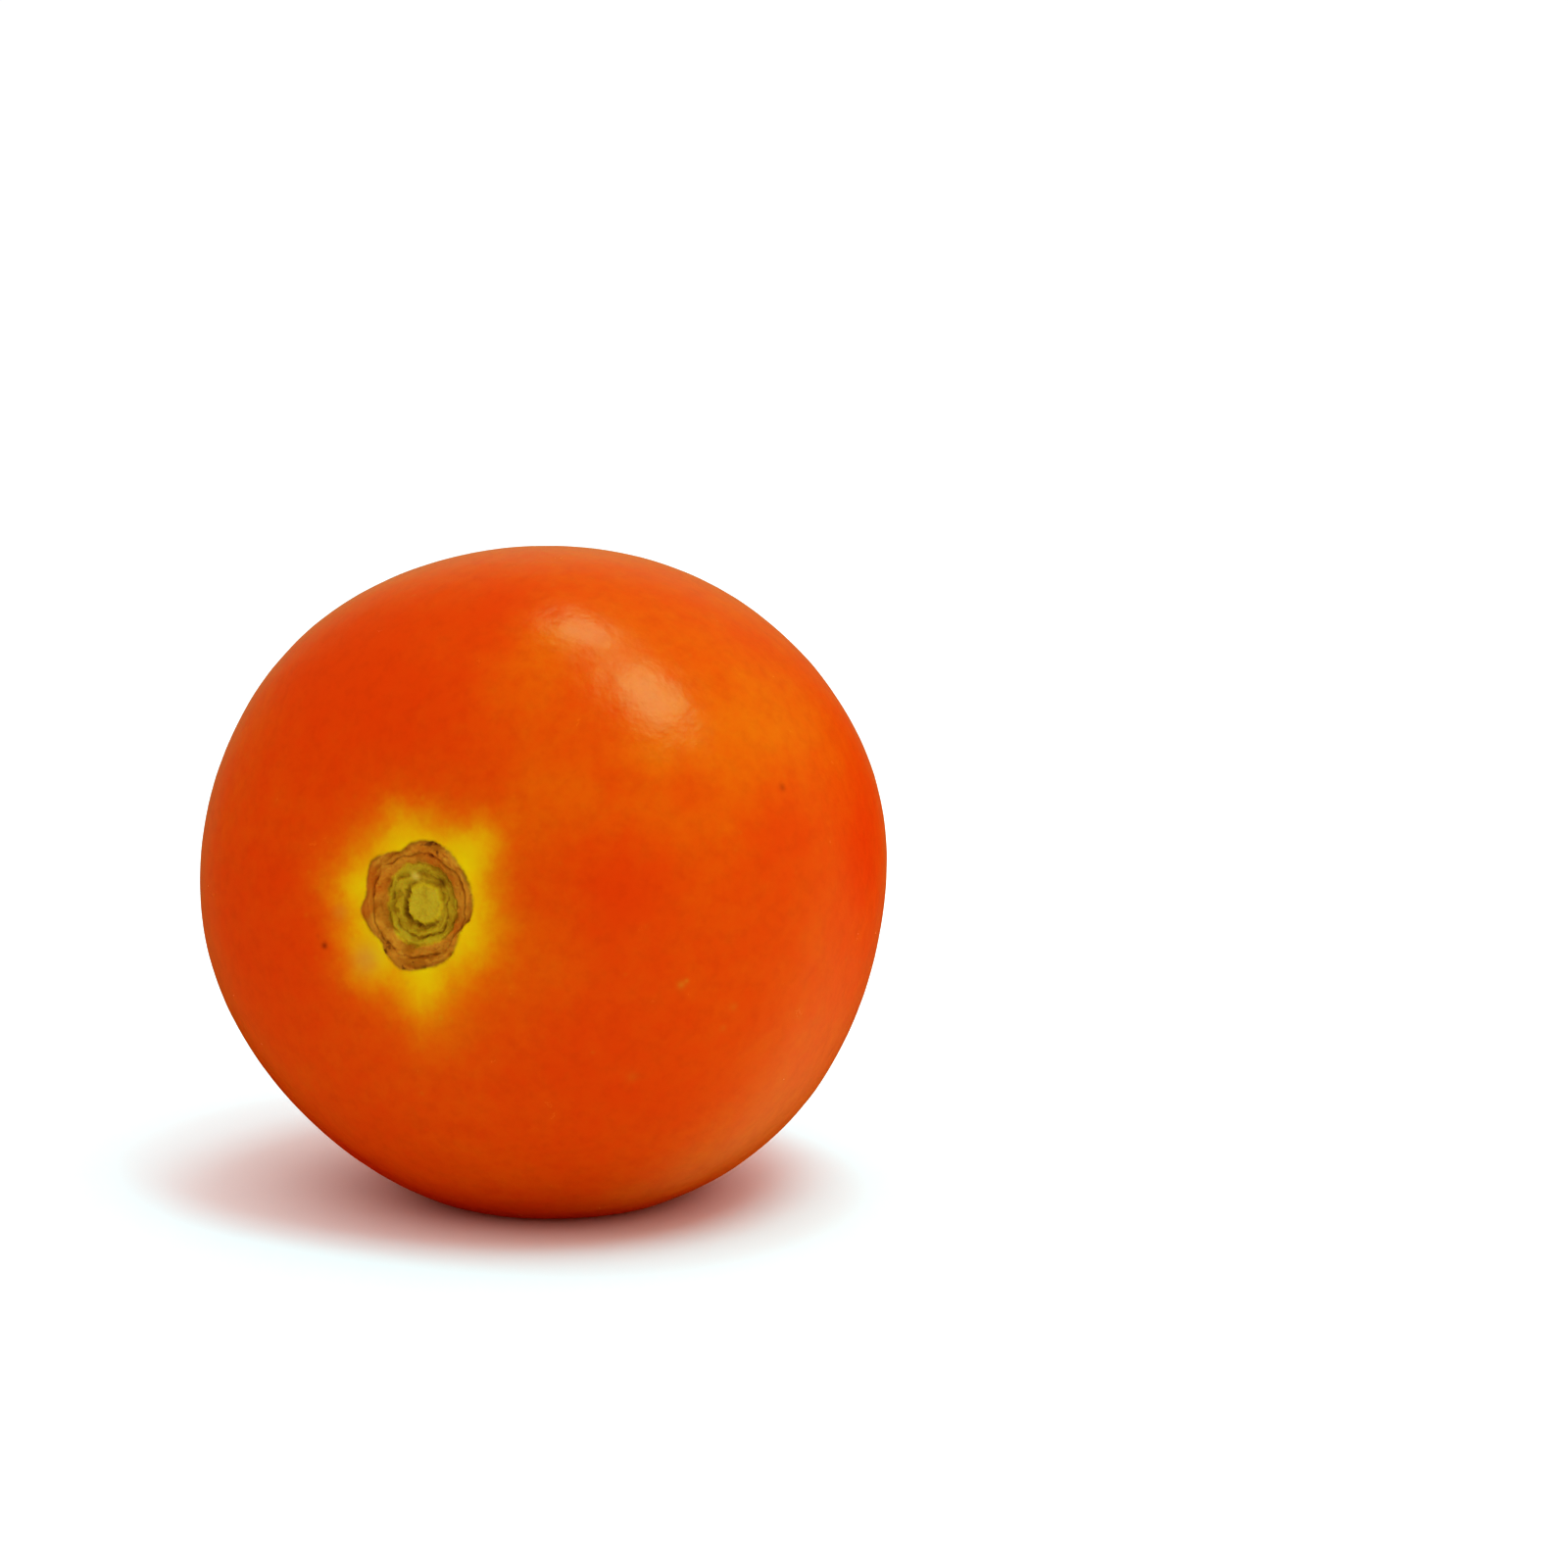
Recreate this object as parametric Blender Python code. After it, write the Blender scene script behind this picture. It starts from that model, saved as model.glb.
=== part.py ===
"""A round salad tomato, picked, without its green calyx, lying on its side.

Metres, +Z up.  The origin is on the small flat spot that the fruit rests on, below the lowest point
that its skin would have without it.  The stem end looks along -Y and a little upwards.

The fruit grew as one piece, so it is one closed solid.  Its skin is worked out from a few sizes:
a direction from the middle of the fruit gives a distance to the skin, then the stem end is pressed
in, the stem scar and the blossom point are added, and the whole is tipped and set down flat.
"""

import math

import bmesh
import bpy
import numpy as np
from mathutils import Vector

# The fruit itself.
GIRTH_RADIUS = 0.0347  # middle to skin, across the stem axis
STEM_HEIGHT = 0.029  # middle to the stem end, before the hollow is pressed in
BLOSSOM_HEIGHT = 0.033  # middle to the blossom end
STEM_FULLNESS = 2.25  # 2 is a plain ellipse, more gives fuller shoulders
BLOSSOM_FULLNESS = 2.15

# The soft lobes round the fruit: how many, how high as a share of the girth, and the angle of one crest.
LOBES = (
    (2, 0.012, math.radians(-7)),
    (3, 0.011, math.radians(50)),
    (4, 0.005, math.radians(27)),
    (6, 0.003, math.radians(14)),
)

# The hollow at the stem end and the scar in it, where the stem came away.
HOLLOW_DEPTH = 0.003
HOLLOW_RADIUS = 0.012
COLLAR_RADIUS = 0.0051  # the raised ring of cork
COLLAR_WIDTH = 0.0013
COLLAR_RISE = 0.0006
GROOVE_RADIUS = 0.0024  # the ring that sinks in round the stump of the stem
GROOVE_WIDTH = 0.0006
GROOVE_DEPTH = 0.0007

# The other end, where the flower was.
BLOSSOM_HOLLOW_DEPTH = 0.0008
BLOSSOM_HOLLOW_RADIUS = 0.008
BLOSSOM_POINT_RISE = 0.0009
BLOSSOM_POINT_RADIUS = 0.0014

# How it lies.
STEM_TILT = math.radians(5.5)  # the stem end is this much higher than level
FLAT_DEPTH = 0.0022  # how far the skin is pressed in where it lies
FLAT_BLEND = 0.0008  # half the height over which the flat runs into the curve

# The facets.
SEGMENTS = 64
RINGS = 46
RING_CROWDING = 0.32  # 0 spaces the rings evenly, more draws them to both ends
SEARCH_STEPS = 720  # directions tried, each way, to find the lowest point

SKIN_COLOUR = (0.62, 0.062, 0.004, 1.0)
SKIN_ROUGHNESS = 0.3


def bell(distance, width):
    """1 at no distance, falling smoothly to nothing over about twice the width."""
    return np.exp(-((distance / width) ** 2))


def girth(turn):
    """The fruit's radius round the stem axis, which the lobes make uneven."""
    lobes = sum(height * np.cos(count * (turn - crest)) for count, height, crest in LOBES)
    return GIRTH_RADIUS * (1 + lobes)


def scar_rise(radius):
    """How far the cork collar stands up, and the groove inside it sinks, at a radius from the stem axis."""
    collar = COLLAR_RISE * bell(radius - COLLAR_RADIUS, COLLAR_WIDTH)
    groove = GROOVE_DEPTH * bell(radius - GROOVE_RADIUS, GROOVE_WIDTH)
    return collar - groove


def blossom_rise(radius):
    """How far the blossom point stands out of its own small hollow."""
    point = BLOSSOM_POINT_RISE * bell(radius, BLOSSOM_POINT_RADIUS)
    return point - BLOSSOM_HOLLOW_DEPTH * bell(radius, BLOSSOM_HOLLOW_RADIUS)


def skin(lean, turn):
    """The skin's radius from the stem axis and its height along it.

    lean is the angle from the stem end, 0 to pi, and turn the angle round the axis.
    """
    stem_side = np.cos(lean) > 0
    height = np.where(stem_side, STEM_HEIGHT, BLOSSOM_HEIGHT)
    power = np.where(stem_side, STEM_FULLNESS, BLOSSOM_FULLNESS)
    across = np.abs(np.sin(lean) / girth(turn)) ** power
    along = np.abs(np.cos(lean) / height) ** power
    reach = (across + along) ** (-1 / power)
    radius = reach * np.sin(lean)
    rise = reach * np.cos(lean)
    stem_end = scar_rise(radius) - HOLLOW_DEPTH * bell(radius, HOLLOW_RADIUS)
    rise += np.where(stem_side, stem_end, -blossom_rise(radius))
    return radius, rise


def tipped(lean, turn):
    """X, Y and Z of the skin, from the middle of the fruit, with the stem end tipped up from -Y."""
    radius, rise = skin(lean, turn)
    across = radius * np.cos(turn)
    up = radius * np.sin(turn)
    forward = up * math.sin(STEM_TILT) - rise * math.cos(STEM_TILT)
    upward = up * math.cos(STEM_TILT) + rise * math.sin(STEM_TILT)
    return across, forward, upward


def lowest_point():
    """The lowest place on the skin before it is pressed flat."""
    lean = np.linspace(0, math.pi, SEARCH_STEPS)[:, None]
    turn = np.linspace(0, 2 * math.pi, SEARCH_STEPS, endpoint=False)[None, :]
    across, forward, upward = np.broadcast_arrays(*tipped(lean, turn))
    at = np.unravel_index(np.argmin(upward), upward.shape)
    return across[at], forward[at], upward[at]


def pressed(height):
    """Lays what is below the ground flat on it, and runs the flat smoothly into the curve above."""
    if height <= -FLAT_BLEND:
        return 0.0
    if height >= FLAT_BLEND:
        return height
    return (height + FLAT_BLEND) ** 2 / (4 * FLAT_BLEND)


def place_on_skin(direction, lowest):
    """Where a point of the unit sphere goes: on the skin, with the flat spot at the origin."""
    even = math.acos(max(-1.0, min(1.0, direction.z)))
    lean = even - RING_CROWDING * math.sin(2 * even)
    turn = math.atan2(direction.y, direction.x)
    across, forward, upward = tipped(np.float64(lean), np.float64(turn))
    low_across, low_forward, low_upward = lowest
    above_ground = float(upward - low_upward) - FLAT_DEPTH
    return Vector((across - low_across, forward - low_forward, pressed(above_ground)))


def make_skin_material():
    """Ripe skin: orange-red, smooth and a little waxy."""
    material = bpy.data.materials.new("tomato_skin")
    material.use_nodes = True
    shader = material.node_tree.nodes["Principled BSDF"]
    shader.inputs["Base Color"].default_value = SKIN_COLOUR
    shader.inputs["Roughness"].default_value = SKIN_ROUGHNESS
    shader.inputs["Metallic"].default_value = 0.0
    material.diffuse_color = SKIN_COLOUR
    return material


def make_tomato():
    """The whole fruit: a sphere's rings and segments, each point moved out to the skin."""
    lowest = lowest_point()
    shape = bmesh.new()
    bmesh.ops.create_uvsphere(shape, u_segments=SEGMENTS, v_segments=RINGS, radius=1.0)
    for vertex in shape.verts:
        vertex.co = place_on_skin(vertex.co.copy(), lowest)
    # The stem axis lies along -Y, which turns the sphere over, so the faces are set outwards again.
    bmesh.ops.recalc_face_normals(shape, faces=shape.faces)
    mesh = bpy.data.meshes.new("tomato")
    shape.to_mesh(mesh)
    shape.free()
    mesh.shade_smooth()
    mesh.materials.append(make_skin_material())
    tomato = bpy.data.objects.new("tomato", mesh)
    bpy.context.scene.collection.objects.link(tomato)
    return tomato


def clear_scene():
    for thing in list(bpy.data.objects):
        bpy.data.objects.remove(thing, do_unlink=True)


clear_scene()
make_tomato()
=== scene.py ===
# %% [markdown]
# # A ripe tomato, lying on its side
#
# A tomato looks simple, but four things make it read as real: a form that is never quite round,
# a corky scar where the stem came away, a yellow star round that scar, and a thin waxy skin over wet
# flesh.  This lesson makes each of them in turn.  The fruit itself is one mesh that Geometry Nodes
# grow from a formula, and its skin, cork and blush are one material.

# %% Load the frame
import math

import bpy
import numpy as np
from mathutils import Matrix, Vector


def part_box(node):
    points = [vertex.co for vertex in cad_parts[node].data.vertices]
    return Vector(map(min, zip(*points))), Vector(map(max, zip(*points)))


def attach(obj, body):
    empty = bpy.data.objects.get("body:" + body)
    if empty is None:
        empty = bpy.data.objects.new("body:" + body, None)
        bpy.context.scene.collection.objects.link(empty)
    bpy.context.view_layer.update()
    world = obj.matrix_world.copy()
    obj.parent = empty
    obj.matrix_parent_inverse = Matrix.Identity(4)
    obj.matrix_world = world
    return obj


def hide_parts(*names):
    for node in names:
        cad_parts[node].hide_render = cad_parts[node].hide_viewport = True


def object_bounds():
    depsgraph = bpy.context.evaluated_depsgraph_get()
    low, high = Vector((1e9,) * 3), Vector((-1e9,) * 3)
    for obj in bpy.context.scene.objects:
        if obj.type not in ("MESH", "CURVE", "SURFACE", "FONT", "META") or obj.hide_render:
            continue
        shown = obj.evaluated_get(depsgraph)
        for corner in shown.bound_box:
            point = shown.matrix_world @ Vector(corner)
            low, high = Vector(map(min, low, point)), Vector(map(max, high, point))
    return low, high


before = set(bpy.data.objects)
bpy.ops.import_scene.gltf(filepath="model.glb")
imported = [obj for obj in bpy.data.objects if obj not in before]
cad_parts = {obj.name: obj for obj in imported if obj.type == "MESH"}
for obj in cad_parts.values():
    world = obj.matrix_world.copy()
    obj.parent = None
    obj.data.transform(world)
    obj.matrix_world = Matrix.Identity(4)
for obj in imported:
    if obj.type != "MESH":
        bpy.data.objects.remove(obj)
cad_low, cad_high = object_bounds()
fruit_low, fruit_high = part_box("tomato")
MM = 0.001
print("the fruit measures", [round(side / MM, 1) for side in fruit_high - fruit_low], "mm")

# %% [markdown]
# ## Formulas as nodes
#
# The skin's place follows a formula, and so do its colours.  Both could be drawn as dozens of Math
# nodes by hand, which is slow to write and hard to read.  Here a small class stands for a number that
# flows through a node tree, so that `a * b + c` in Python adds the two nodes and their links.  The same
# class serves the Geometry Nodes tree and the shader, because both use the same Math node.

# %% A number in a node tree
def fill(tree, socket, value):
    """Links a Number or a socket into an input, or types a plain value into it."""
    if isinstance(value, Number):
        tree.links.new(value.socket, socket)
    elif isinstance(value, bpy.types.NodeSocket):
        tree.links.new(value, socket)
    else:
        socket.default_value = value


class Number:
    """A number that flows through a node tree, with Python's signs for sums and products."""

    def __init__(self, tree, socket):
        self.tree = tree
        self.socket = socket

    def math(self, operation, *values):
        node = self.tree.nodes.new("ShaderNodeMath")
        node.operation = operation
        for socket, value in zip(node.inputs, values):
            fill(self.tree, socket, value)
        return Number(self.tree, node.outputs[0])

    def __add__(self, other):
        return self.math("ADD", self, other)

    def __radd__(self, other):
        return self.math("ADD", other, self)

    def __sub__(self, other):
        return self.math("SUBTRACT", self, other)

    def __rsub__(self, other):
        return self.math("SUBTRACT", other, self)

    def __mul__(self, other):
        return self.math("MULTIPLY", self, other)

    def __truediv__(self, other):
        return self.math("DIVIDE", self, other)

    def __rtruediv__(self, other):
        return self.math("DIVIDE", other, self)

    def __pow__(self, other):
        return self.math("POWER", self, other)

    def __neg__(self):
        return self.math("MULTIPLY", self, -1.0)


def sine(angle):
    return angle.math("SINE", angle)


def cosine(angle):
    return angle.math("COSINE", angle)


def size_of(value):
    """The value without its sign."""
    return value.math("ABSOLUTE", value)


def bell(distance, width):
    """1 at no distance, falling smoothly to nothing over about twice the width."""
    share = distance / width
    return share.math("EXPONENT", -(share * share))


def logistic(value):
    """1 far below 0, a half at 0, and nothing far above it."""
    return 1.0 / (value.math("EXPONENT", value) + 1.0)


def ramp(value, start, end):
    """0 before start and 1 after end, with a smooth run between.  It falls where end is below start."""
    tree = value.tree
    node = tree.nodes.new("ShaderNodeMapRange")
    node.interpolation_type = "SMOOTHSTEP"
    fill(tree, node.inputs["Value"], value)
    fill(tree, node.inputs["From Min"], start)
    fill(tree, node.inputs["From Max"], end)
    return Number(tree, node.outputs["Result"])


def vector(x, y, z):
    tree = x.tree
    node = tree.nodes.new("ShaderNodeCombineXYZ")
    for socket, value in zip(node.inputs, (x, y, z)):
        fill(tree, socket, value)
    return node.outputs[0]


def bumps_round(turn, bumps):
    """Adds up bumps at angles: each has its angle and half width in degrees and its height between."""
    total = 0.0
    for angle, bump_height, half_width in bumps:
        off = turn - math.radians(angle)
        off = off.math("ARCTAN2", sine(off), cosine(off))
        total = bell(off, math.radians(half_width)) * bump_height + total
    return total


def split(tree, place):
    """The three numbers of a vector."""
    node = tree.nodes.new("ShaderNodeSeparateXYZ")
    tree.links.new(place, node.inputs[0])
    return [Number(tree, socket) for socket in node.outputs]


def distance(here, there):
    """How far a place whose numbers flow through the tree is from a fixed one."""
    total = 0.0
    for axis, fixed in zip(here, there):
        off = axis - fixed
        total = off * off + total
    return total ** 0.5


def noise(tree, place, scale, seed, detail=2.0, roughness=0.5):
    """Smooth random hills from about -0.5 to 0.5.  Another seed gives other hills."""
    node = tree.nodes.new("ShaderNodeTexNoise")
    node.noise_dimensions = "4D"
    fill(tree, node.inputs["Vector"], place)
    node.inputs["W"].default_value = seed
    node.inputs["Scale"].default_value = scale
    node.inputs["Detail"].default_value = detail
    node.inputs["Roughness"].default_value = roughness
    return Number(tree, node.outputs[0]) - 0.5


print("numbers in a tree can now be added, multiplied, blended and spread along curves")

# %% [markdown]
# ## The form
#
# A tomato swells from five or so chambers, so its girth is a circle with a few low lobes, and its
# outline from stem to blossom is a little fuller than an ellipse.  Sculpting would give such a form
# too, but a formula keeps the sizes that the fruit was designed with, and lets the same numbers be
# changed later.  The tree starts with a UV sphere.  Each of its points has a direction, and the formula
# says how far out the skin is in that direction.

# %% The sizes that the tree takes
FRUIT_SIZES = {
    "Segments": 384,
    "Rings": 250,
    "Girth Radius": 34.7 * MM,
    "Stem Height": 29.0 * MM,
    "Blossom Height": 33.0 * MM,
    "Stem Fullness": 2.25,
    "Blossom Fullness": 2.15,
    "Hollow Depth": 3.0 * MM,
    "Hollow Radius": 12.0 * MM,
    "Stem Tilt": math.radians(5.5),
    "Flat Depth": 2.2 * MM,
    "Flat Blend": 0.8 * MM,
    "Unevenness": 0.35 * MM,
}
# The lobes: how many, how high as a share of the girth, and the angle of one crest.
LOBES = (
    (2, 0.012, math.radians(-7)),
    (3, 0.011, math.radians(50)),
    (4, 0.005, math.radians(27)),
    (6, 0.003, math.radians(14)),
)
# Which share of the rings lies before which share of the way from stem to blossom: four in ten of
# them crowd into the scar, which is the only place with fine relief.
RING_SPACING = ((0.0, 0.0), (0.42, 0.088), (0.9, 0.93), (1.0, 1.0))

grower = bpy.data.node_groups.new("grow_tomato", "GeometryNodeTree")
grower.interface.new_socket("Geometry", in_out="OUTPUT", socket_type="NodeSocketGeometry")
size_ids = {}
for name, size in FRUIT_SIZES.items():
    kind = "NodeSocketInt" if isinstance(size, int) else "NodeSocketFloat"
    socket = grower.interface.new_socket(name, in_out="INPUT", socket_type=kind)
    socket.default_value = size
    size_ids[name] = socket.identifier
grower_in = grower.nodes.new("NodeGroupInput")
given = {name: Number(grower, grower_in.outputs[name]) for name in FRUIT_SIZES}
print(len(size_ids), "named sizes")

# %% [markdown]
# A UV sphere spaces its rings evenly, which would give the small scar a dozen rings and waste hundreds
# on smooth skin.  Dividing the whole sphere more finely would make the mesh far too heavy.  A curve
# instead moves the rings towards the stem, and every ring still runs all the way round.

# %% Directions over the sphere
sphere = grower.nodes.new("GeometryNodeMeshUVSphere")
fill(grower, sphere.inputs["Segments"], given["Segments"])
fill(grower, sphere.inputs["Rings"], given["Rings"])
sphere.inputs["Radius"].default_value = 1.0
where = grower.nodes.new("GeometryNodeInputPosition")
start_x, start_y, start_z = split(grower, where.outputs[0])
even_lean = start_z.math("ARCCOSINE", start_z.math("MAXIMUM", start_z.math("MINIMUM", start_z, 1.0), -1.0))
spacing = grower.nodes.new("ShaderNodeFloatCurve")
curve = spacing.mapping.curves[0]
curve.points[0].location = RING_SPACING[0]
curve.points[-1].location = RING_SPACING[-1]
for share in RING_SPACING[1:-1]:
    curve.points.new(*share)
# Straight runs: a smooth curve would dip below nought at the stem and pile up dozens of rings on the pole.
for point in curve.points:
    point.handle_type = "VECTOR"
spacing.mapping.update()
fill(grower, spacing.inputs["Value"], even_lean / math.pi)
lean = Number(grower, spacing.outputs[0]) * math.pi
turn = start_y.math("ARCTAN2", start_y, start_x)
scar_rings = round(RING_SPACING[1][0] * FRUIT_SIZES["Rings"])
print("the stem end gets", scar_rings, "of", FRUIT_SIZES["Rings"], "rings")

# %% [markdown]
# The distance to the skin is a superellipse: with a power of 2 it would be a plain ellipse, and a
# little more makes the shoulders fuller.  The half towards the stem is lower than the half towards the
# blossom, so each takes its own height and power.  A slow noise then makes the form uneven by a few
# tenths of a millimetre, which is what breaks up the reflections of a real fruit.

# %% From direction to skin
def choose(test, when_true, when_false):
    """One of two values, for a test that is 1 or 0."""
    return test * (when_true - when_false) + when_false


lobes = 1.0
for count, crest_height, crest in LOBES:
    lobes = cosine((turn - crest) * count) * crest_height + lobes
girth = given["Girth Radius"] * lobes
on_stem_side = cosine(lean).math("GREATER_THAN", cosine(lean), 0.0)
end_height = choose(on_stem_side, given["Stem Height"], given["Blossom Height"])
power = choose(on_stem_side, given["Stem Fullness"], given["Blossom Fullness"])
across_share = size_of(sine(lean) / girth) ** power
along_share = size_of(cosine(lean) / end_height) ** power
reach = (across_share + along_share) ** (-1.0 / power)
direction = vector(sine(lean) * cosine(turn), sine(lean) * sine(turn), cosine(lean))
broad_waves = noise(grower, direction, 2.2, seed=3.0, detail=1.0)
short_waves = noise(grower, direction, 7.0, seed=8.0)
reach = reach + given["Unevenness"] * (broad_waves + short_waves * 0.4)
radius = reach * sine(lean)
rise = reach * cosine(lean)
print(len(LOBES), "kinds of lobes round the girth")

# %% [markdown]
# ## The stem end
#
# Where the stem broke off, a ring of dry cork surrounds a greener patch of ridges, and in the middle is
# the stump of the stem with a groove round it.  The cork's outer edge is ragged, with corners where the
# calyx leaves were joined to it.  A painted scar would look like a sticker from the side, so it is all
# real relief, up to two thirds of a millimetre high, in a mesh whose rings are less than a tenth of a
# millimetre apart here.  The sizes below are in millimetres, as seen from the stem end.

# %% The scar's plan
CORK_EDGE = 5.95  # out to the skin
CORK_INSIDE = 4.0  # in to the ridges
STUMP_SIZE = 1.8  # from its middle to its edge
STUMP_CENTRE = (0.35, 0.2)
STUMP_SQUARENESS = 2.7  # 2 would be round
STUMP_EDGE = (0.3, -0.35)  # the stump fades out between these, about its size
SOFT_EDGE = 0.14  # how far each way the cork's outer edge fades
SOFT_BORDER = 0.22  # and its border with the ridges
# Where the cork's edge is not round: angle, height and half width of each corner and notch.
CORK_CORNERS = ((75, 0.45, 24), (113, -0.45, 9), (145, 0.65, 13), (174, -0.2, 7), (190, 0.55, 10),
                (223, -0.45, 10), (254, 0.65, 18), (335, -0.85, 19))
CORK_WIDER = ((180, -0.5, 40),)  # where the cork reaches further in

radius_mm = radius / MM
scar_x = radius_mm * cosine(turn)
scar_y = radius_mm * sine(turn)
circle = vector(cosine(turn), sine(turn), on_stem_side)
wobble = noise(grower, circle, 1.6, seed=11.0, detail=2.0)
scallops = noise(grower, circle, 6.5, seed=5.0, detail=3.0, roughness=0.6)
edge = bumps_round(turn, CORK_CORNERS) + scallops * 0.55 + CORK_EDGE
teeth = noise(grower, circle, 4.0, seed=21.0)
inside = wobble * 0.9 + teeth * 0.9 + bumps_round(turn, CORK_WIDER) + CORK_INSIDE
scar = ramp(radius_mm, edge + SOFT_EDGE, edge - SOFT_EDGE) * on_stem_side
ring = scar * ramp(radius_mm, inside - SOFT_BORDER, inside + SOFT_BORDER)
from_stump_x = size_of(scar_x - STUMP_CENTRE[0]) ** STUMP_SQUARENESS
from_stump_y = size_of(scar_y - STUMP_CENTRE[1]) ** STUMP_SQUARENESS
from_stump = (from_stump_x + from_stump_y) ** (1.0 / STUMP_SQUARENESS)
stump = noise(grower, circle, 2.4, seed=31.0) * 0.9 + STUMP_SIZE
core = ramp(from_stump, stump + STUMP_EDGE[0], stump + STUMP_EDGE[1]) * on_stem_side
green = scar * (1.0 - ring) * (1.0 - core)
print("the scar is about", round(2 * CORK_EDGE, 1), "mm wide and has", len(CORK_CORNERS), "corners")

# %% [markdown]
# The tissue dried while it was shrinking, so it lies in folds that run round the stump.  A noise gives
# such folds when it is stretched: it changes slowly with the angle and fast with the distance from the
# middle.  Thin creases are pressed in between them, and the material paints them dark as shade.  Each
# crease is a circle that wanders in and out and is missing here and there, because a closed ring would
# look turned on a lathe.

# %% The scar's relief
flat_place = vector(scar_x, scar_y, 0.0)
lumps = noise(grower, flat_place, 0.9, seed=41.0, detail=3.0, roughness=0.6)
grain = noise(grower, flat_place, 4.5, seed=51.0, detail=2.0)


def folds_round(turns, across, seed):
    """A noise that is stretched along circles round the middle of the scar."""
    outward = radius_mm * across + lumps * 1.4
    return noise(grower, vector(cosine(turn) * turns, sine(turn) * turns, outward), 1.0, seed, detail=2.0)


folds = folds_round(turns=1.9, across=1.15, seed=2.0)


def fold_line(start, wander, width, seed):
    """A crease round the stump, wandering in and out, and missing here and there.  The material paints it
    dark as shade.
    """
    away = radius_mm - (noise(grower, circle, 2.2, seed) * wander + start)
    return bell(away, width) * ramp(noise(grower, circle, 1.7, seed + 1.0), -0.16, 0.1) * on_stem_side


border = bell(radius_mm - inside, 0.17) * ramp(noise(grower, circle, 1.8, seed=25.0), -0.25, 0.15) * scar
lines = border + fold_line(3.1, 1.5, 0.14, seed=27.0) + fold_line(5.1, 1.6, 0.13, seed=37.0) * 0.8


def spot(x, y, size):
    """1 at a place in the scar, falling off over about its size."""
    return bell(distance((scar_x, scar_y), (x, y)), size) * on_stem_side


GRANULE_PLACE = (-0.75, 2.7)
pit = spot(2.1, 2.3, 0.55)
granule = spot(*GRANULE_PLACE, 0.42)
groove_side = ramp(scar_x * 0.75 + scar_y * 0.65, 1.6, -0.9)
moat_depth = groove_side * 0.7 + 0.25 + noise(grower, circle, 3.0, seed=61.0) * 0.9
moat = bell(from_stump - (stump + 0.3), 0.28) * moat_depth * on_stem_side
rim = bell(radius_mm - (edge - 0.05), 0.2) * on_stem_side
relief = (
    bell(radius_mm - 5.0, 1.2) * 0.5
    + ring * (folds * 1.2 + grain * 0.2)
    + green * (folds * 1.1 + grain * 0.1)
    + core * (lumps * 0.6 + grain * 0.12 + 0.15)
    + granule * 0.2
    - lines * 0.2
    - moat * 0.4
    - pit * 0.3
    - rim * 0.08
)
hollow = given["Hollow Depth"] * bell(radius, given["Hollow Radius"])
stem_end = relief * MM - hollow
print("the stem end is hollowed by", round(FRUIT_SIZES["Hollow Depth"] / MM, 1), "mm")

# %% [markdown]
# ## The blossom end
#
# Opposite the stem is the spot where the flower sat: a brown point no bigger than a pin's head, in a
# shallow dimple with faint puckers running into it.  It is turned away from the camera, but the fruit
# can be picked up and turned, so it is finished as well.  The same formula makes it, with bells of the
# distance from the axis for the dimple and the point.

# %% The blossom point
puckers = cosine(turn * 5.0 + noise(grower, circle, 1.5, seed=71.0) * 4.0)
blossom_point = bell(radius_mm, 1.3) * (0.8 + grain * 0.5)
blossom_dimple = bell(radius_mm, 8.0) * 0.8 + puckers * bell(radius_mm - 3.0, 2.0) * 0.06
blossom_end = (blossom_point - blossom_dimple) * MM
rise = rise + choose(on_stem_side, stem_end, -blossom_end)
print("the blossom point stands in a dimple")

# %% [markdown]
# ## Lying down
#
# So far the stem axis points straight up.  The tree tips it over until the stem end looks forward and a
# little up, lowers the fruit until its lowest point would be just under the ground, and lays what is
# below the ground flat.  The step from flat to curved is a short parabola, because a hard edge there
# would catch the light like a cut.

# %% Tip, lower and press
across = radius * cosine(turn)
upright = radius * sine(turn)
tilt = given["Stem Tilt"]
forward = upright * sine(tilt) - rise * cosine(tilt)
upward = upright * cosine(tilt) + rise * sine(tilt)
lowest = grower.nodes.new("GeometryNodeAttributeStatistic")
grower.links.new(sphere.outputs["Mesh"], lowest.inputs["Geometry"])
fill(grower, lowest.inputs["Attribute"], upward)
above_ground = upward - Number(grower, lowest.outputs["Min"]) - given["Flat Depth"]
blend = given["Flat Blend"]
eased = (above_ground + blend).math("MAXIMUM", above_ground + blend, 0.0)
curved = eased * eased / (blend * 4.0)
is_clear = above_ground.math("GREATER_THAN", above_ground, blend)
resting_height = choose(is_clear, above_ground, curved)
print("the fruit leans back", round(math.degrees(FRUIT_SIZES["Stem Tilt"]), 1), "degrees")

# %% [markdown]
# The material needs to know where it is on the fruit and what it is painting, so the tree stores that
# with each point: the place in the fruit's own axes, how much of each kind of scar tissue is there, and
# where the creases, folds and cork rim lie, which the material paints as shade and light.

# %% Store what the material reads
def store(geometry, name, value, kind="FLOAT"):
    node = grower.nodes.new("GeometryNodeStoreNamedAttribute")
    node.data_type = kind
    node.domain = "POINT"
    grower.links.new(geometry, node.inputs["Geometry"])
    node.inputs["Name"].default_value = name
    fill(grower, node.inputs["Value"], value)
    return node.outputs["Geometry"]


def capture(geometry, values):
    """Works the values out on the sphere, before its points move away."""
    node = grower.nodes.new("GeometryNodeCaptureAttribute")
    node.domain = "POINT"
    grower.links.new(geometry, node.inputs["Geometry"])
    held = []
    for name, value in values.items():
        is_vector = isinstance(value, bpy.types.NodeSocket)
        node.capture_items.new("VECTOR" if is_vector else "FLOAT", name)
        fill(grower, node.inputs[name], value)
        held.append(node.outputs[name])
    return node.outputs["Geometry"], dict(zip(values, held))


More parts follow.
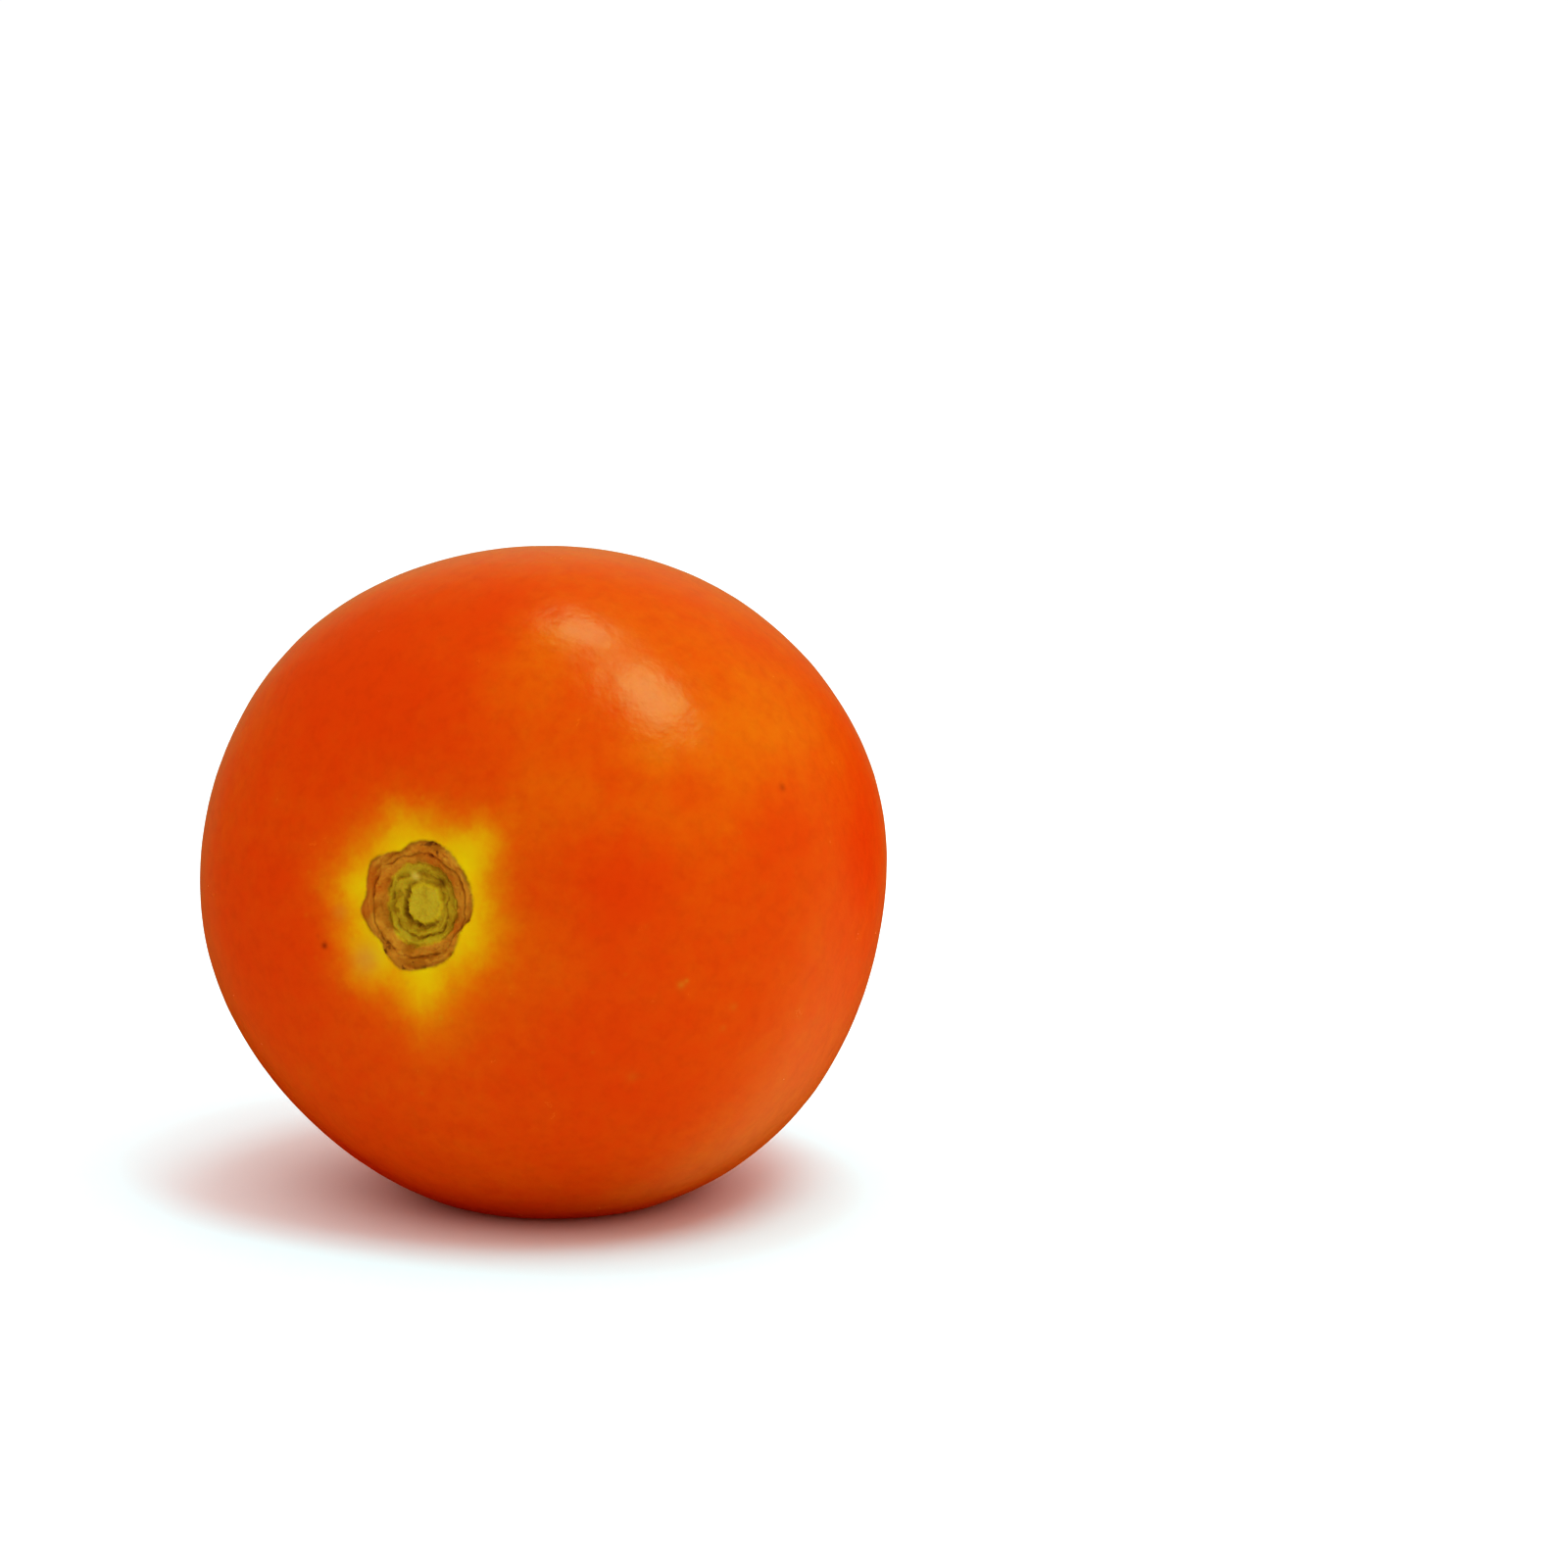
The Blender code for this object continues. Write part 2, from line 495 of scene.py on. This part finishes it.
traits = {
    "own_place": vector(across, upright, rise),
    "cork": ring,
    "green": green,
    "core": core,
    # where the material paints shade: the groove round the stump, the creases and the pit
    "crevice": scar * (moat * 0.8 + lines * 0.7 + pit * 0.7),
    # the height of the folds, which the material paints as shade in the low parts and as light on the
    # crests and the granule
    "fold": scar * (folds + grain * 0.15 + granule * 0.5),
    "rim": rim * ramp(noise(grower, circle, 3.0, seed=81.0), -0.15, 0.25),
    "stem_side": on_stem_side,
}
lying_place = vector(across, forward, resting_height)
shape, held = capture(sphere.outputs["Mesh"], {"lying_place": lying_place} | traits)
for name in traits:
    kind = "FLOAT_VECTOR" if name == "own_place" else "FLOAT"
    shape = store(shape, name, held[name], kind)
mover = grower.nodes.new("GeometryNodeSetPosition")
grower.links.new(shape, mover.inputs["Geometry"])
grower.links.new(held["lying_place"], mover.inputs["Position"])
print("stored with each point:", ", ".join(traits))

# %% [markdown]
# Last in the tree come smooth shading and the skin's material.  Realize Instances changes nothing here,
# but with it the tree gives plain geometry whatever is added to it later.

# %% Finish the tree
skin = bpy.data.materials.new("tomato_skin")
smoother = grower.nodes.new("GeometryNodeSetShadeSmooth")
grower.links.new(mover.outputs[0], smoother.inputs["Geometry"])
realizer = grower.nodes.new("GeometryNodeRealizeInstances")
grower.links.new(smoother.outputs[0], realizer.inputs["Geometry"])
painter = grower.nodes.new("GeometryNodeSetMaterial")
painter.inputs["Material"].default_value = skin
grower.links.new(realizer.outputs[0], painter.inputs["Geometry"])
grower_out = grower.nodes.new("NodeGroupOutput")
grower.links.new(painter.outputs[0], grower_out.inputs["Geometry"])
print(len(grower.nodes), "nodes in the tree")


# %% [markdown]
# ## From nodes to a plain mesh
#
# A modifier is handy while the form is being worked on, but the finished fruit is a plain mesh.  The
# tree's inputs are set by their identifiers, the evaluated result is copied, and the modifier is dropped.
# The frame says where the fruit lies, so the mesh is slid over the ground until its box is over the
# frame's box.

# %% Grow the fruit
def grow(tree, ids, sizes, name):
    """Runs a Geometry Nodes tree with these sizes and returns a plain mesh object."""
    seed = bpy.data.objects.new(name + "_seed", bpy.data.meshes.new(name + "_seed"))
    bpy.context.scene.collection.objects.link(seed)
    modifier = seed.modifiers.new("grow", "NODES")
    modifier.node_group = tree
    for size_name, size in sizes.items():
        modifier[ids[size_name]] = size
    seed.update_tag()
    depsgraph = bpy.context.evaluated_depsgraph_get()
    mesh = bpy.data.meshes.new_from_object(
        seed.evaluated_get(depsgraph), preserve_all_data_layers=True, depsgraph=depsgraph
    )
    bpy.data.objects.remove(seed)
    mesh.name = name
    piece = bpy.data.objects.new(name, mesh)
    bpy.context.scene.collection.objects.link(piece)
    return piece


def box_of(mesh):
    """Lowest and highest corner of a mesh."""
    places = np.empty(len(mesh.vertices) * 3, np.float32)
    mesh.vertices.foreach_get("co", places)
    places = places.reshape(-1, 3)
    return Vector(places.min(axis=0)), Vector(places.max(axis=0))


fruit = grow(grower, size_ids, FRUIT_SIZES, "tomato_fruit")
own_low, own_high = box_of(fruit.data)
over_the_frame = (fruit_low + fruit_high - own_low - own_high) / 2
over_the_frame.z = 0.0
for vertex in fruit.data.vertices:
    vertex.co += over_the_frame
own_low, own_high = box_of(fruit.data)
triangles = sum(len(face.vertices) - 2 for face in fruit.data.polygons)
too_big = [round(side / MM, 2) for side in own_high - fruit_high]
print(triangles, "triangles; past the frame's box by", too_big, "mm")

# %% [markdown]
# ## The skin
#
# The colour of a ripe tomato lies under the skin: red flesh seen through a clear, waxy film.  The red is
# uneven in three ways, as broad patches that ripened sooner or later, as a fine mottle and as tiny pale
# flecks, and round the stem it turns yellow.  A painted picture could hold all that, but colours made of
# noises have no seam, and they stay sharp however near the camera comes.  They start from the place in the
# fruit's own axes, so they stay on the skin however the fruit lies.

# %% Colour helpers
def blend_colour(tree, share, first, second):
    """The first colour where share is 0 and the second where it is 1."""
    node = tree.nodes.new("ShaderNodeMix")
    node.data_type = "RGBA"
    fill(tree, node.inputs[0], share)
    for socket, colour in ((node.inputs[6], first), (node.inputs[7], second)):
        if isinstance(colour, tuple):
            socket.default_value = (*colour, 1.0)
        else:
            tree.links.new(colour, socket)
    return node.outputs[2]


skin.use_nodes = True
paint = skin.node_tree
shader = paint.nodes["Principled BSDF"]


def trait(name):
    """A node that reads what the tree stored with each point."""
    node = paint.nodes.new("ShaderNodeAttribute")
    node.attribute_name = name
    return node


def amount(name):
    """A stored number, such as how much cork there is."""
    return Number(paint, trait(name).outputs["Fac"])


place = trait("own_place").outputs["Vector"]
place_x, place_y, place_z = split(paint, place)
cork = amount("cork")
green_tissue = amount("green")
core_tissue = amount("core")
crevice = amount("crevice")
fold = amount("fold")
rim_shade = amount("rim")
stem_side = amount("stem_side")
print("the skin's material reads", len(traits), "traits")

# %% [markdown]
# Where the green calyx covered the fruit it kept the light off, and the skin stayed yellow: a star with a
# point under each leaf.  The star is a disc whose radius grows by a bell at the angle of each leaf.  A
# logistic curve fades it out, and noise is added before the curve, so that the edge is ragged where the
# fade is widest.

# %% The yellow star
# Each ray has its angle as seen from the stem end, its length in millimetres and its half width.
STAR_RAYS = (
    (45, 2.9, 16),
    (105, 1.1, 13),
    (172, 1.2, 14),
    (228, 1.5, 17),
    (276, 2.5, 15),
    (335, 0.5, 18),
)
STAR_RADIUS = 7.6  # between its rays
STAR_FADE = 1.35
RAGGED = 3.4  # how far the blots push its edge in and out

from_axis = distance((place_x, place_y), (0.0, 0.0)) / MM
around = place_y.math("ARCTAN2", place_y, place_x)
blots = noise(paint, place, 420.0, seed=4.0, detail=4.0, roughness=0.65)
streaks = noise(paint, place, 1500.0, seed=14.0, detail=2.0)
past_star = from_axis - bumps_round(around, STAR_RAYS) - STAR_RADIUS + blots * RAGGED + streaks
yellow = logistic(past_star / STAR_FADE) * stem_side
print("the skin has", len(STAR_RAYS), "yellow rays round its stem")

# %% [markdown]
# A tomato doesn't ripen all at once: what had more sun is redder, and what lay under a leaf is more
# orange.  One number, the ripeness, says how far each place has come.  It is a sum of soft patches, a
# slow noise and a fine mottle, and it drives a single blend from red to orange, because two colours
# that are blended by one number always look like the same skin.

# %% The colours of the skin
# Each patch has its middle in the fruit's own axes and its size, both in millimetres, and how orange it
# is; below nought it is redder.  Most are the skin's own ripeness, but two small orange ones paint part of
# the highlights' glow on the shoulder, and one redder one paints shade where the fruit rests on the floor.
DEEP_RED = (0.705, 0.087, 0.0010)
ORANGE = (0.72, 0.198, 0.0016)
YELLOW = (0.75, 0.545, 0.004)
DARK_RED = (0.36, 0.026, 0.0006)
SLOW_SHARE = 0.65
MOTTLE_SHARE = 0.7
MIDDLE_RIPENESS = 0.22
PATCHES = (
    ((26, 15, 17), 9, 0.33),
    ((29, 20, 8), 7, 0.28),
    ((31, 17, -1), 6, 0.22),
    ((24.5, 12.5, 19.5), 3.0, -0.35),
    ((34.5, 4, 0), 5, -0.28),
    ((12, 26, 17), 8, 0.24),
    ((2, 28.5, 17.5), 3.5, -0.30),
    ((11.5, -5, 26), 6, 0.32),
    ((3, -11, 26), 6, 0.36),
    # painted highlight: the soft orange edge of the upper highlight
    ((8.5, 25.5, 19.5), 2.5, 0.30),
    # painted highlight: a pale orange tail below the right highlight
    ((21.5, 15, 20), 2.5, 0.25),
    ((8.5, 21, 23.5), 4, 0.28),
    ((13.5, 12, 25), 5, 0.34),
    ((23, 10, 21), 4, 0.10),
    ((21, 3, 23), 4.5, -0.42),
    ((9, -28, 17), 7, 0.10),
    ((31, 9, 12), 5, -0.32),
    ((-12, 22, 20), 9, -0.28),
    ((-20, -6, 21), 11, -0.10),
    ((22, -15, 20), 8, -0.18),
    # painted shade: redder skin low on the near side, where the fruit rests on the floor
    ((-10, -26, 18), 7, -0.20),
    ((26, -24, 4), 9, 0.15),
    ((-22, 24, -8), 14, 0.22),
    ((8, -24, -22), 12, -0.25),
    ((20, 10, -26), 13, 0.15),
    ((-12, -2, -32), 10, -0.20),
)


def patch_sum(patches):
    """How orange the skin is here because of the patches."""
    total = 0.0
    for (x, y, z), size, strength in patches:
        away = distance((place_x, place_y, place_z), (x * MM, y * MM, z * MM))
        total = bell(away, size * MM) * strength + total
    return total


slow = noise(paint, place, 60.0, seed=1.0, detail=2.0)
mottle = noise(paint, place, 330.0, seed=2.0, detail=6.0, roughness=0.72)
ripeness = patch_sum(PATCHES) + slow * SLOW_SHARE + mottle * MOTTLE_SHARE + MIDDLE_RIPENESS
base = blend_colour(paint, ramp(ripeness, -0.1, 1.1), DEEP_RED, ORANGE)
cells = noise(paint, place, 700.0, seed=12.0, detail=3.0, roughness=0.6)
base = blend_colour(paint, ramp(cells, -0.1, 0.25) * 0.10, base, DARK_RED)
base = blend_colour(paint, yellow, base, YELLOW)
print(len(PATCHES), "patches of redder and more orange skin")

# %% [markdown]
# Tiny pale flecks lie under the skin, and more orange ones are scattered round the yellow star.  A
# Voronoi texture gives a point in every cell of space, so two flecks hardly ever touch, and its random
# colour for each cell is used to leave most of them out.

# %% Flecks
PALE_FLECK = (0.62, 0.24, 0.03)
HALO_DOT = (0.66, 0.36, 0.02)


def specks(tree, spot_place, scale, size, seed, keep):
    """Small round specks at random, of which only a share is kept."""
    node = tree.nodes.new("ShaderNodeTexVoronoi")
    node.voronoi_dimensions = "4D"
    fill(tree, node.inputs["Vector"], spot_place)
    node.inputs["W"].default_value = seed
    node.inputs["Scale"].default_value = scale
    chosen = split(tree, node.outputs["Color"])[0]
    dot = ramp(Number(tree, node.outputs["Distance"]), size, 0.0)
    return dot * chosen.math("LESS_THAN", chosen, keep)


fine_flecks = specks(paint, place, 620.0, 0.24, seed=1.0, keep=0.3)
large_flecks = specks(paint, place, 210.0, 0.11, seed=5.0, keep=0.3)
base = blend_colour(paint, fine_flecks * 0.2 + large_flecks * 0.45, base, PALE_FLECK)
near_star = ramp(past_star, 7.0, 0.5) * stem_side
halo_dots = specks(paint, place, 800.0, 0.36, seed=21.0, keep=0.3) * near_star
base = blend_colour(paint, halo_dots * 0.4, base, HALO_DOT)
print("three kinds of flecks are under the skin")

# %% [markdown]
# Every fruit also has marks that are its own: a dark prick where an insect sat, a bruise that went pink,
# a few pale scratches.  They are few, so each one is given as a soft spot of colour.

# %% Marks of this fruit
MARK_DARK = (0.20, 0.015, 0.001)
MARK_PINK = (0.62, 0.27, 0.08)
# The place and the size in millimetres, the colour and how strong it is.
MARKS = (
    ((-10.2, -4.8, 26.7), 0.32, MARK_DARK, 0.6),
    ((-11.0, -3.9, 26.5), 0.22, MARK_DARK, 0.3),
    ((-5.6, -5.7, 26.9), 1.5, MARK_PINK, 0.6),
    ((-8.6, -1.4, 26.9), 0.9, MARK_PINK, 0.3),
    ((25.4, -6.1, 20.6), 0.42, PALE_FLECK, 0.55),
    ((25.8, -5.7, 20.3), 0.25, PALE_FLECK, 0.5),
    ((20.8, -15.4, 21.1), 0.6, PALE_FLECK, 0.22),
    ((28.9, -8.4, 16.0), 0.45, PALE_FLECK, 0.25),
    ((28.0, -10.5, 16.3), 0.4, PALE_FLECK, 0.2),
    ((30.9, 12.6, 10.9), 0.4, MARK_DARK, 0.3),
)
for (mark_x, mark_y, mark_z), size, colour, strength in MARKS:
    from_mark = distance((place_x, place_y, place_z), (mark_x * MM, mark_y * MM, mark_z * MM))
    base = blend_colour(paint, bell(from_mark, size * MM) * strength, base, colour)
print(len(MARKS), "marks")

# %% [markdown]
# ## The cork
#
# Cork is dead, dry tissue, so it is tan, with a few charred specks on its rim.  The ridges inside it are
# still alive and stay olive, and the stump in the middle is the palest part.  The cork and the ridges are
# painted darker in the low parts of their folds and lighter on the crests, as painted shade and light,
# and the creases are painted darker still as shade.  The mesh already says how much of each tissue is at
# each point and where the folds and creases lie, so the colours follow the relief exactly, which a second
# noise in the material could not do.

# %% Scar colours
CORK_LIGHT = (0.57, 0.265, 0.033)
CORK_DARK = (0.42, 0.165, 0.009)
CORK_RUST = (0.54, 0.15, 0.005)
OLIVE_LIGHT = (0.51, 0.35, 0.024)
OLIVE_DARK = (0.41, 0.25, 0.011)
STUMP_PALE = (0.56, 0.41, 0.036)
# painted shade for the groove round the stump, the creases and the pit
CREVICE_SHADE = (0.23, 0.105, 0.004)
RIM_DARK = (0.20, 0.060, 0.002)
CHAR = (0.13, 0.035, 0.003)
# a painted highlight: the pale glint on the little granule above the stump
PAINTED_GLINT = (0.72, 0.52, 0.16)
# Where the cork's edge is charred: angle, how much and half width.
CHARRED = ((76, 1.0, 16), (20, 0.5, 14), (232, 1.0, 14), (262, 1.0, 18))

tone = noise(paint, place, 650.0, seed=9.0, detail=3.0, roughness=0.6)
rust = noise(paint, place, 260.0, seed=19.0, detail=2.0)
# painted shade and light: the cork is darker in the low parts of its folds and lighter on their crests
cork_colour = blend_colour(paint, ramp(fold + tone * 0.9, -0.25, 0.2), CORK_DARK, CORK_LIGHT)
cork_colour = blend_colour(paint, ramp(rust, 0.0, 0.25) * 0.6, cork_colour, CORK_RUST)
# the same painted shade and light on the olive ridges
olive_colour = blend_colour(paint, ramp(fold + tone * 0.4, -0.2, 0.15), OLIVE_DARK, OLIVE_LIGHT)
base = blend_colour(paint, cork, base, cork_colour)
base = blend_colour(paint, green_tissue, base, olive_colour)
stump_colour = blend_colour(paint, ramp(tone, -0.1, 0.25) * 0.6, STUMP_PALE, OLIVE_DARK)
stump_colour = blend_colour(paint, ramp(rust, 0.05, 0.25) * 0.4, stump_colour, CORK_RUST)
base = blend_colour(paint, core_tissue, base, stump_colour)
# painted shade in the groove round the stump, the creases and the pit
base = blend_colour(paint, ramp(crevice, 0.05, 0.9) * 0.65, base, CREVICE_SHADE)
base = blend_colour(paint, rim_shade * 0.65, base, RIM_DARK)
near_edge = ramp(from_axis, 4.7, 5.3) * ramp(from_axis, 6.9, 6.3) * stem_side
char = ramp(noise(paint, place, 1300.0, seed=29.0, detail=2.0), 0.02, 0.16) * near_edge
char = char * bumps_round(around, CHARRED)
base = blend_colour(paint, char.math("MINIMUM", char, 1.0) * ramp(cork, 0.0, 0.6) * 0.8, base, CHAR)
# painted highlight: a pale glint on the little granule above the stump
to_glint = distance((place_x, place_y), (GRANULE_PLACE[0] * MM, GRANULE_PLACE[1] * MM))
base = blend_colour(paint, bell(to_glint, 0.38 * MM) * stem_side * 0.7, base, PAINTED_GLINT)
blossom_spot = (1.0 - stem_side) * ramp(from_axis, 1.5, 0.5)
base = blend_colour(paint, blossom_spot, base, CORK_DARK)
paint.links.new(base, shader.inputs["Base Color"])
print(len(paint.nodes), "nodes colour the skin and the scar")

# %% [markdown]
# Ripe skin is glossy, but its wax is uneven, so a highlight on it has soft, slightly crinkled edges.  The
# gloss is a low roughness that varies with the mottle, and the crinkles are a very shallow bump.  Light
# also goes a few millimetres into the wet flesh and comes out redder, which a little subsurface
# scattering gives.

# %% Gloss, wax and flesh
SKIN_ROUGHNESS = 0.26
SCAR_ROUGHER = 0.3  # how much rougher the scar is than the skin
SKIN_IOR = 1.42
FLESH_DEPTH = 2.5 * MM  # how far red light goes into the flesh
BUMP_HEIGHT = 0.06 * MM

scar_share = ramp(cork + green_tissue + core_tissue + blossom_spot, 0.0, 1.0)
fill(paint, shader.inputs["Roughness"], scar_share * SCAR_ROUGHER + mottle * 0.08 + SKIN_ROUGHNESS)
shader.inputs["IOR"].default_value = SKIN_IOR
shader.inputs["Specular IOR Level"].default_value = 0.7
shader.inputs["Specular Tint"].default_value = (1.0, 0.8, 0.5, 1.0)
shader.inputs["Subsurface Weight"].default_value = 0.2
shader.inputs["Subsurface Radius"].default_value = (1.0, 0.25, 0.08)
shader.inputs["Subsurface Scale"].default_value = FLESH_DEPTH

bump = paint.nodes.new("ShaderNodeBump")
bump.inputs["Distance"].default_value = BUMP_HEIGHT
bump.inputs["Strength"].default_value = 0.35
pores = noise(paint, place, 2400.0, seed=6.0, detail=2.0)
ripples = noise(paint, place, 1500.0, seed=17.0, detail=2.0)
wax = noise(paint, place, 330.0, seed=7.0, detail=3.0, roughness=0.5)
fill(paint, bump.inputs["Height"], pores * 0.3 + ripples * 0.8 + wax * 5.0 + tone * scar_share * 1.5)
paint.links.new(bump.outputs["Normal"], shader.inputs["Normal"])
print("the skin has a roughness of", SKIN_ROUGHNESS, "and the scar", SKIN_ROUGHNESS + SCAR_ROUGHER)

# %% [markdown]
# ## The stage
#
# The fruit lies on a plain white floor, far larger than the view, so that its edge is never seen.  The
# floor is left out of mirrored rays, because the skin would show it as a hard white band on the lower
# half of the fruit.

# %% Floor
middle = (cad_low + cad_high) / 2
FLOOR_SIZE = 60.0
FLOOR_WHITE = (0.9, 0.9, 0.9, 1.0)
floor_mesh = bpy.data.meshes.new("floor")
half = FLOOR_SIZE / 2
corners = [(-half, -half, 0.0), (half, -half, 0.0), (half, half, 0.0), (-half, half, 0.0)]
floor_mesh.from_pydata(corners, [], [(0, 1, 2, 3)])
floor = bpy.data.objects.new("floor", floor_mesh)
bpy.context.scene.collection.objects.link(floor)
floor_paint = bpy.data.materials.new("floor_white")
floor_paint.use_nodes = True
floor_shader = floor_paint.node_tree.nodes["Principled BSDF"]
floor_shader.inputs["Base Color"].default_value = FLOOR_WHITE
floor_shader.inputs["Roughness"].default_value = 0.9
floor_shader.inputs["Specular IOR Level"].default_value = 0.1
floor_mesh.materials.append(floor_paint)
floor.visible_glossy = False
print("the floor is", FLOOR_SIZE, "m wide")

# %% [markdown]
# Most of the light is even and white, stronger from above and a little stronger from the right.  The
# World gives it, and a Light Path node lets it send something else along each kind of ray: white to the
# camera, the soft light to rough surfaces, and to mirrored rays the surroundings that a glossy skin
# shows at its rims.

# %% Even light
world = bpy.data.worlds.new("pale_surround")
world.use_nodes = True
bpy.context.scene.world = world
sky = world.node_tree
surround = sky.nodes["Background"]
sky_place = sky.nodes.new("ShaderNodeTexCoord")
sky_x, sky_y, sky_z = split(sky, sky_place.outputs["Generated"])
EVEN = 0.53
GRADIENT = (0.10, 0.05, 0.24)
light_strength = sky_x * GRADIENT[0] + sky_y * GRADIENT[1] + sky_z * GRADIENT[2] + EVEN
print("the even light is", EVEN, "in the middle and", EVEN + GRADIENT[2], "straight above")

# %% [markdown]
# A glossy skin mirrors whatever stands round it, most of all at its rims.  Ripe fruit mostly lies among
# other ripe fruit, so its rims are dull and warm and not white.  Models of other fruit would give that,
# but each would have to be hidden from the camera.  A soft warm gradient with a few brighter and darker
# places is simpler, and it can be changed without changing the light on the skin.

# %% What the skin mirrors
# Red, green and blue each have an even part and a slope along x, y and z.
MIRRORED = (
    (0.42, 0.12, -0.02, -0.05),
    (0.22, 0.08, 0.11, -0.10),
    (0.06, 0.00, 0.10, 0.00),
)
# Places in it: the direction, how wide the place is, and what it adds to red, green and blue.
MIRRORED_PLACES = (
    ((0.50, 0.58, -0.60), 0.60, (0.30, 0.42, 0.34)),
    ((0.30, 0.95, -0.10), 0.45, (0.00, -0.48, -0.28)),
    ((-0.15, 0.30, -0.95), 0.50, (-0.42, -0.34, -0.15)),
    ((-0.45, 0.75, 0.45), 0.45, (0.06, 0.15, 0.13)),
    ((-0.42, 0.72, -0.50), 0.36, (-0.22, -0.36, -0.24)),
)


def mirrored_channel(channel):
    """How bright one colour channel of the mirrored surroundings is in each direction."""
    even, slope_x, slope_y, slope_z = MIRRORED[channel]
    total = sky_x * slope_x + sky_y * slope_y + sky_z * slope_z + even
    for towards, width, added in MIRRORED_PLACES:
        away = distance((sky_x, sky_y, sky_z), Vector(towards).normalized())
        total = total + bell(away, width) * added[channel]
    return total.math("MAXIMUM", total, 0.0)


mirrored_colour = sky.nodes.new("ShaderNodeCombineColor")
for channel, socket in enumerate(mirrored_colour.inputs):
    fill(sky, socket, mirrored_channel(channel))
ray = sky.nodes.new("ShaderNodeLightPath")
is_mirrored = Number(sky, ray.outputs["Is Glossy Ray"])
is_seen = Number(sky, ray.outputs["Is Camera Ray"])
surround_colour = blend_colour(sky, is_mirrored, (1.0, 1.0, 1.0), mirrored_colour.outputs[0])
sky.links.new(surround_colour, surround.inputs["Color"])
fill(sky, surround.inputs["Strength"], choose(is_mirrored + is_seen, 1.0, light_strength))
print(len(MIRRORED_PLACES), "places in the mirrored surroundings")

# %% [markdown]
# Two soft boxes make the two highlights on the shoulder, one almost straight above and a stronger one to
# the right.  They hang where the skin mirrors them to the camera, and their size is the highlight's
# softness.  They give little red, because the skin is already so red that more of it could not be seen,
# and it is the green and blue that make a highlight look pale.

# %% Soft boxes
def soft_box(name, towards, size, watts):
    """A square area light that hangs in a direction from the fruit and looks at it."""
    lamp = bpy.data.lights.new(name, "AREA")
    lamp.shape = "SQUARE"
    lamp.size = size
    lamp.energy = watts
    lamp.color = LAMP_COOL
    box = bpy.data.objects.new(name, lamp)
    outwards = Vector(towards).normalized()
    box.location = middle + outwards * LAMP_DISTANCE
    box.rotation_euler = outwards.to_track_quat("Z", "Y").to_euler()
    box.visible_camera = False
    bpy.context.scene.collection.objects.link(box)


LAMP_COOL = (0.24, 1.0, 1.1)  # red, green and blue
LAMP_DISTANCE = 0.8
soft_box("light_over", towards=(0.025, 0.095, 1.0), size=0.23, watts=0.57)
soft_box("light_right", towards=(0.43, -0.11, 0.9), size=0.31, watts=1.25)
print("two soft boxes,", LAMP_DISTANCE, "m from the fruit")

# %% [markdown]
# The camera looks a little from the right and from above, so that the scar faces it off centre.  It
# stands 45 cm away, as a hand-held one would, which makes the near side swell slightly.  A longer lens
# from further off would flatten the fruit.

# %% Camera
CAMERA_AZIMUTH = math.radians(26.8)
CAMERA_ELEVATION = math.radians(11.6)
CAMERA_DISTANCE = 0.45
LENS = 100.55
SENSOR = 36.0
CLIP_START = 0.01
LOOK_RIGHT = 0.0239  # the view's middle is this far to the right of the fruit's
LOOK_UP = 0.00824

back = Vector(
    (
        math.sin(CAMERA_AZIMUTH) * math.cos(CAMERA_ELEVATION),
        -math.cos(CAMERA_AZIMUTH) * math.cos(CAMERA_ELEVATION),
        math.sin(CAMERA_ELEVATION),
    )
)
right = Vector((math.cos(CAMERA_AZIMUTH), math.sin(CAMERA_AZIMUTH), 0.0))
up = back.cross(right)
camera_data = bpy.data.cameras.new("camera")
camera_data.lens = LENS
camera_data.sensor_width = SENSOR
camera_data.clip_start = CLIP_START
camera = bpy.data.objects.new("camera", camera_data)
camera.location = middle + back * CAMERA_DISTANCE
look_at = middle + right * LOOK_RIGHT + up * LOOK_UP
camera.rotation_euler = (look_at - camera.location).to_track_quat("-Z", "Y").to_euler()
bpy.context.scene.collection.objects.link(camera)
bpy.context.scene.camera = camera
bpy.context.scene.view_settings.view_transform = "Standard"
bpy.context.scene.view_settings.look = "Very High Contrast"
print("the camera stands", CAMERA_DISTANCE, "m away with a", LENS, "mm lens")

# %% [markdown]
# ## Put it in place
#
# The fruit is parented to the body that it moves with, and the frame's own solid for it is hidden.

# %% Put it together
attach(fruit, "root")
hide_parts("tomato")
